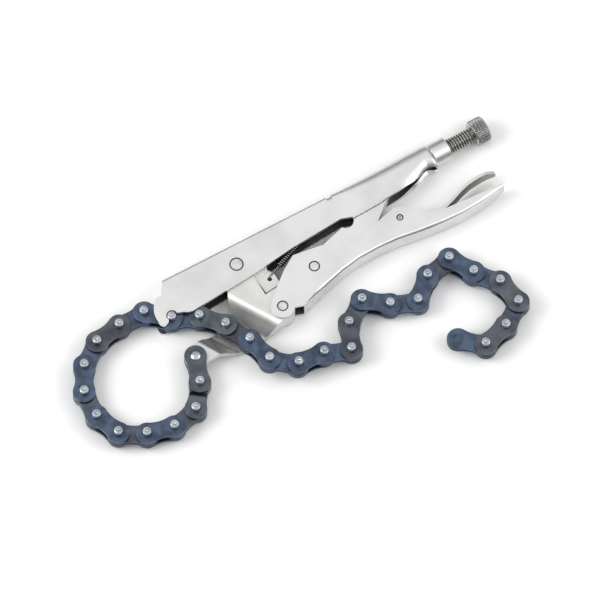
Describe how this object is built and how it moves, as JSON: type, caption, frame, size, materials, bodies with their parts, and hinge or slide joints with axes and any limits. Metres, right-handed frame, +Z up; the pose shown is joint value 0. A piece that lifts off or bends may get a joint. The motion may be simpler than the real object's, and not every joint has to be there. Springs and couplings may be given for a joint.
{
  "type": "locking chain clamp",
  "caption": "Locking pliers with a hinged jaw, toggle handle, release lever and adjusting screw; an extended-pin chain runs from the jaw through the hook nose.",
  "frame": {"origin": "jaw pivot axis at the face the tool rests on", "axes": "+X along the frame towards the knob, +Y towards the spine, +Z up from the rest face"},
  "size_m": [0.2817, 0.1286, 0.0197],
  "materials": {
    "sheet": "satin nickel plate",
    "jaw": "satin nickel plate over a forged surface",
    "spring": "drawn spring wire",
    "screw": "bright plate",
    "chain_plates": "blued steel",
    "chain_pins": "ground pin ends"
  },
  "bodies": {
    "frame": {"frame_channel": "sheet", "end_collar": "sheet", "jaw_rivet": "sheet", "spring_tab": "sheet", "return_spring": "spring"},
    "jaw": {"jaw_arm": "jaw"},
    "handle": {"lower_handle": "sheet", "handle_rivets": "sheet", "release_pin": "sheet"},
    "toggle": {"toggle_link": "sheet"},
    "release": {"release_lever": "sheet"},
    "screw": {"adjusting_screw": "screw"},
    "knob": {"screw_knob": "screw"},
    "link_01": {"chain_link_01": "chain_plates", "chain_pins_01": "chain_pins"},
    "link_02": {"chain_link_02": "chain_plates", "chain_pins_02": "chain_pins"},
    "link_03": {"chain_link_03": "chain_plates"},
    "link_04": {"chain_link_04": "chain_plates", "chain_pins_04": "chain_pins"},
    "link_05": {"chain_link_05": "chain_plates"},
    "link_06": {"chain_link_06": "chain_plates", "chain_pins_06": "chain_pins"},
    "link_07": {"chain_link_07": "chain_plates"},
    "link_08": {"chain_link_08": "chain_plates", "chain_pins_08": "chain_pins"},
    "link_09": {"chain_link_09": "chain_plates"},
    "link_10": {"chain_link_10": "chain_plates", "chain_pins_10": "chain_pins"},
    "link_11": {"chain_link_11": "chain_plates"},
    "link_12": {"chain_link_12": "chain_plates", "chain_pins_12": "chain_pins"},
    "link_13": {"chain_link_13": "chain_plates"},
    "link_14": {"chain_link_14": "chain_plates", "chain_pins_14": "chain_pins"},
    "link_15": {"chain_link_15": "chain_plates"},
    "link_16": {"chain_link_16": "chain_plates", "chain_pins_16": "chain_pins"},
    "link_17": {"chain_link_17": "chain_plates"},
    "link_18": {"chain_link_18": "chain_plates", "chain_pins_18": "chain_pins"},
    "link_19": {"chain_link_19": "chain_plates"},
    "link_20": {"chain_link_20": "chain_plates", "chain_pins_20": "chain_pins"},
    "link_21": {"chain_link_21": "chain_plates"},
    "link_22": {"chain_link_22": "chain_plates", "chain_pins_22": "chain_pins"},
    "link_23": {"chain_link_23": "chain_plates"},
    "link_24": {"chain_link_24": "chain_plates", "chain_pins_24": "chain_pins"},
    "link_25": {"chain_link_25": "chain_plates"},
    "link_26": {"chain_link_26": "chain_plates", "chain_pins_26": "chain_pins"},
    "link_27": {"chain_link_27": "chain_plates"},
    "link_28": {"chain_link_28": "chain_plates", "chain_pins_28": "chain_pins"},
    "link_29": {"chain_link_29": "chain_plates"},
    "link_30": {"chain_link_30": "chain_plates", "chain_pins_30": "chain_pins"},
    "link_31": {"chain_link_31": "chain_plates"}
  },
  "joints": [
    {"name": "jaw_pivot", "type": "hinge", "parent": "frame", "child": "jaw", "pos_m": [0, 0, 0.0075], "axis": [0, 0, 1], "range_deg": [-0.5, 7], "deforming": ["return_spring"]},
    {"name": "handle_pivot", "type": "hinge", "parent": "jaw", "child": "handle", "pos_m": [0.0098, -0.0345, 0.0075], "axis": [0, 0, 1], "range_deg": [-34, 0]},
    {"name": "toggle_pivot", "type": "hinge", "parent": "handle", "child": "toggle", "pos_m": [0.037, -0.0226, 0.0075], "axis": [0, 0, 1], "range_deg": [-0.5, 41]},
    {"name": "release_pivot", "type": "hinge", "parent": "handle", "child": "release", "pos_m": [0.0931, -0.0209, 0.0075], "axis": [0, 0, 1], "range_deg": [-6, 0]},
    {"name": "screw_slide", "type": "slide", "parent": "frame", "child": "screw", "axis": [1, 0, 0], "range_m": [0, 0.014]},
    {"name": "knob_spin", "type": "hinge", "parent": "screw", "child": "knob", "pos_m": [0.1545, 0.0049, 0.0075], "axis": [1, 0, 0], "range_deg": [-10, 3200]},
    {"name": "chain_01", "type": "hinge", "parent": "jaw", "child": "link_01", "pos_m": [-0.0465, -0.0351, 0.0075], "axis": [0, 0, 1], "range_deg": [-3, 3]},
    {"name": "chain_02", "type": "hinge", "parent": "link_01", "child": "link_02", "pos_m": [-0.05219, -0.04992, 0.0075], "axis": [0, 0, 1], "range_deg": [-2.7, 2.7]},
    {"name": "chain_03", "type": "hinge", "parent": "link_02", "child": "link_03", "pos_m": [-0.06196, -0.06243, 0.0075], "axis": [0, 0, 1], "range_deg": [-2.7, 2.7]},
    {"name": "chain_04", "type": "hinge", "parent": "link_03", "child": "link_04", "pos_m": [-0.07749, -0.06573, 0.0075], "axis": [0, 0, 1], "range_deg": [-2.7, 2.7]},
    {"name": "chain_05", "type": "hinge", "parent": "link_04", "child": "link_05", "pos_m": [-0.09289, -0.06189, 0.0075], "axis": [0, 0, 1], "range_deg": [-2.7, 2.7]},
    {"name": "chain_06", "type": "hinge", "parent": "link_05", "child": "link_06", "pos_m": [-0.1064, -0.05355, 0.0075], "axis": [0, 0, 1], "range_deg": [-3.3, 3.3]},
    {"name": "chain_07", "type": "hinge", "parent": "link_06", "child": "link_07", "pos_m": [-0.11186, -0.03865, 0.0075], "axis": [0, 0, 1], "range_deg": [-3.9, 3.9]},
    {"name": "chain_08", "type": "hinge", "parent": "link_07", "child": "link_08", "pos_m": [-0.11076, -0.02281, 0.0075], "axis": [0, 0, 1], "range_deg": [-3.9, 3.9]},
    {"name": "chain_09", "type": "hinge", "parent": "link_08", "child": "link_09", "pos_m": [-0.10282, -0.00906, 0.0075], "axis": [0, 0, 1], "range_deg": [-2.7, 2.7]},
    {"name": "chain_10", "type": "hinge", "parent": "link_09", "child": "link_10", "pos_m": [-0.08966, -0.00018, 0.0075], "axis": [0, 0, 1], "range_deg": [-2.7, 2.7]},
    {"name": "chain_11", "type": "hinge", "parent": "link_10", "child": "link_11", "pos_m": [-0.07398, 0.0023, 0.0075], "axis": [0, 0, 1], "range_deg": [-2.7, 2.7]},
    {"name": "chain_12", "type": "hinge", "parent": "link_11", "child": "link_12", "pos_m": [-0.05811, 0.00202, 0.0077], "axis": [-0.0193, 0.018, 0.9996], "range_deg": [-2.7, 2.7]},
    {"name": "chain_13", "type": "hinge", "parent": "link_12", "child": "link_13", "pos_m": [-0.0465, -0.0088, 0.00812], "axis": [-0.0193, 0.018, 0.9996], "range_deg": [-2, 0.5]},
    {"name": "chain_14", "type": "hinge", "parent": "link_13", "child": "link_14", "pos_m": [-0.03265, -0.01648, 0.00916], "axis": [-0.0769, 0.095, 0.9925], "range_deg": [-2, 1]},
    {"name": "chain_15", "type": "hinge", "parent": "link_14", "child": "link_15", "pos_m": [-0.02273, -0.02872, 0.0111], "axis": [-0.0769, 0.095, 0.9925], "range_deg": [-2, 1]},
    {"name": "chain_16", "type": "hinge", "parent": "link_15", "child": "link_16", "pos_m": [-0.01629, -0.0432, 0.0121], "axis": [-0.0015, 0.0061, 1], "range_deg": [-2, 1]},
    {"name": "chain_17", "type": "hinge", "parent": "link_16", "child": "link_17", "pos_m": [-0.01245, -0.0586, 0.0122], "axis": [-0.0015, 0.0061, 1], "range_deg": [-30, 1]},
    {"name": "chain_18", "type": "hinge", "parent": "link_17", "child": "link_18", "pos_m": [-0.00012, -0.06858, 0.01145], "axis": [0.088, -0.0062, 0.9961], "range_deg": [-6, 6]},
    {"name": "chain_19", "type": "hinge", "parent": "link_18", "child": "link_19", "pos_m": [0.01565, -0.06968, 0.01005], "axis": [-0.088, 0.0062, -0.9961], "range_deg": [-6, 6]},
    {"name": "chain_20", "type": "hinge", "parent": "link_19", "child": "link_20", "pos_m": [0.03045, -0.07536, 0.00915], "axis": [0.0106, 0.0228, 0.9997], "range_deg": [-6, 6]},
    {"name": "chain_21", "type": "hinge", "parent": "link_20", "child": "link_21", "pos_m": [0.03716, -0.06098, 0.00875], "axis": [-0.0106, -0.0228, -0.9997], "range_deg": [-6, 6]},
    {"name": "chain_22", "type": "hinge", "parent": "link_21", "child": "link_22", "pos_m": [0.05031, -0.05211, 0.00815], "axis": [0.0263, -0.0206, 0.9994], "range_deg": [-6, 6]},
    {"name": "chain_23", "type": "hinge", "parent": "link_22", "child": "link_23", "pos_m": [0.06281, -0.06188, 0.00762], "axis": [-0.0263, 0.0206, -0.9994], "range_deg": [-6, 6]},
    {"name": "chain_24", "type": "hinge", "parent": "link_23", "child": "link_24", "pos_m": [0.07753, -0.06782, 0.0075], "axis": [0, 0, 1], "range_deg": [-6, 6]},
    {"name": "chain_25", "type": "hinge", "parent": "link_24", "child": "link_25", "pos_m": [0.08969, -0.05762, 0.0075], "axis": [0, 0, -1], "range_deg": [-6, 6]},
    {"name": "chain_26", "type": "hinge", "parent": "link_25", "child": "link_26", "pos_m": [0.10527, -0.05459, 0.0075], "axis": [0, 0, 1], "range_deg": [-8, 8]},
    {"name": "chain_27", "type": "hinge", "parent": "link_26", "child": "link_27", "pos_m": [0.11297, -0.06848, 0.0075], "axis": [0, 0, -1], "range_deg": [-8, 8]},
    {"name": "chain_28", "type": "hinge", "parent": "link_27", "child": "link_28", "pos_m": [0.12296, -0.08081, 0.0075], "axis": [0, 0, 1], "range_deg": [-8, 8]},
    {"name": "chain_29", "type": "hinge", "parent": "link_28", "child": "link_29", "pos_m": [0.12544, -0.09649, 0.0075], "axis": [0, 0, -1], "range_deg": [-8, 8]},
    {"name": "chain_30", "type": "hinge", "parent": "link_29", "child": "link_30", "pos_m": [0.11228, -0.10537, 0.0075], "axis": [0, 0, 1], "range_deg": [-8, 8]},
    {"name": "chain_31", "type": "hinge", "parent": "link_30", "child": "link_31", "pos_m": [0.09695, -0.10948, 0.0075], "axis": [0, 0, -1], "range_deg": [-8, 8]}
  ],
  "couplings": [
    {"joint": "jaw_pivot", "follows": "handle_pivot", "ratio": -0.17964},
    {"joint": "toggle_pivot", "follows": "handle_pivot", "ratio": -1.1598},
    {"joint": "knob_spin", "follows": "screw_slide", "rad_per_m": 3957.9},
    {"joint": "chain_01", "follows": "handle_pivot", "ratio": 0.072803},
    {"joint": "chain_02", "follows": "handle_pivot", "ratio": 0.06467},
    {"joint": "chain_03", "follows": "handle_pivot", "ratio": 0.06467},
    {"joint": "chain_04", "follows": "handle_pivot", "ratio": 0.06467},
    {"joint": "chain_05", "follows": "handle_pivot", "ratio": -0.06467},
    {"joint": "chain_06", "follows": "handle_pivot", "ratio": -0.082106},
    {"joint": "chain_07", "follows": "handle_pivot", "ratio": -0.098694},
    {"joint": "chain_08", "follows": "handle_pivot", "ratio": -0.10039},
    {"joint": "chain_09", "follows": "handle_pivot", "ratio": 0.06467},
    {"joint": "chain_10", "follows": "handle_pivot", "ratio": 0.06467},
    {"joint": "chain_11", "follows": "handle_pivot", "ratio": 0.06467},
    {"joint": "chain_12", "follows": "handle_pivot", "ratio": 0.06467},
    {"joint": "chain_17", "follows": "handle_pivot", "ratio": 0.85}
  ]
}
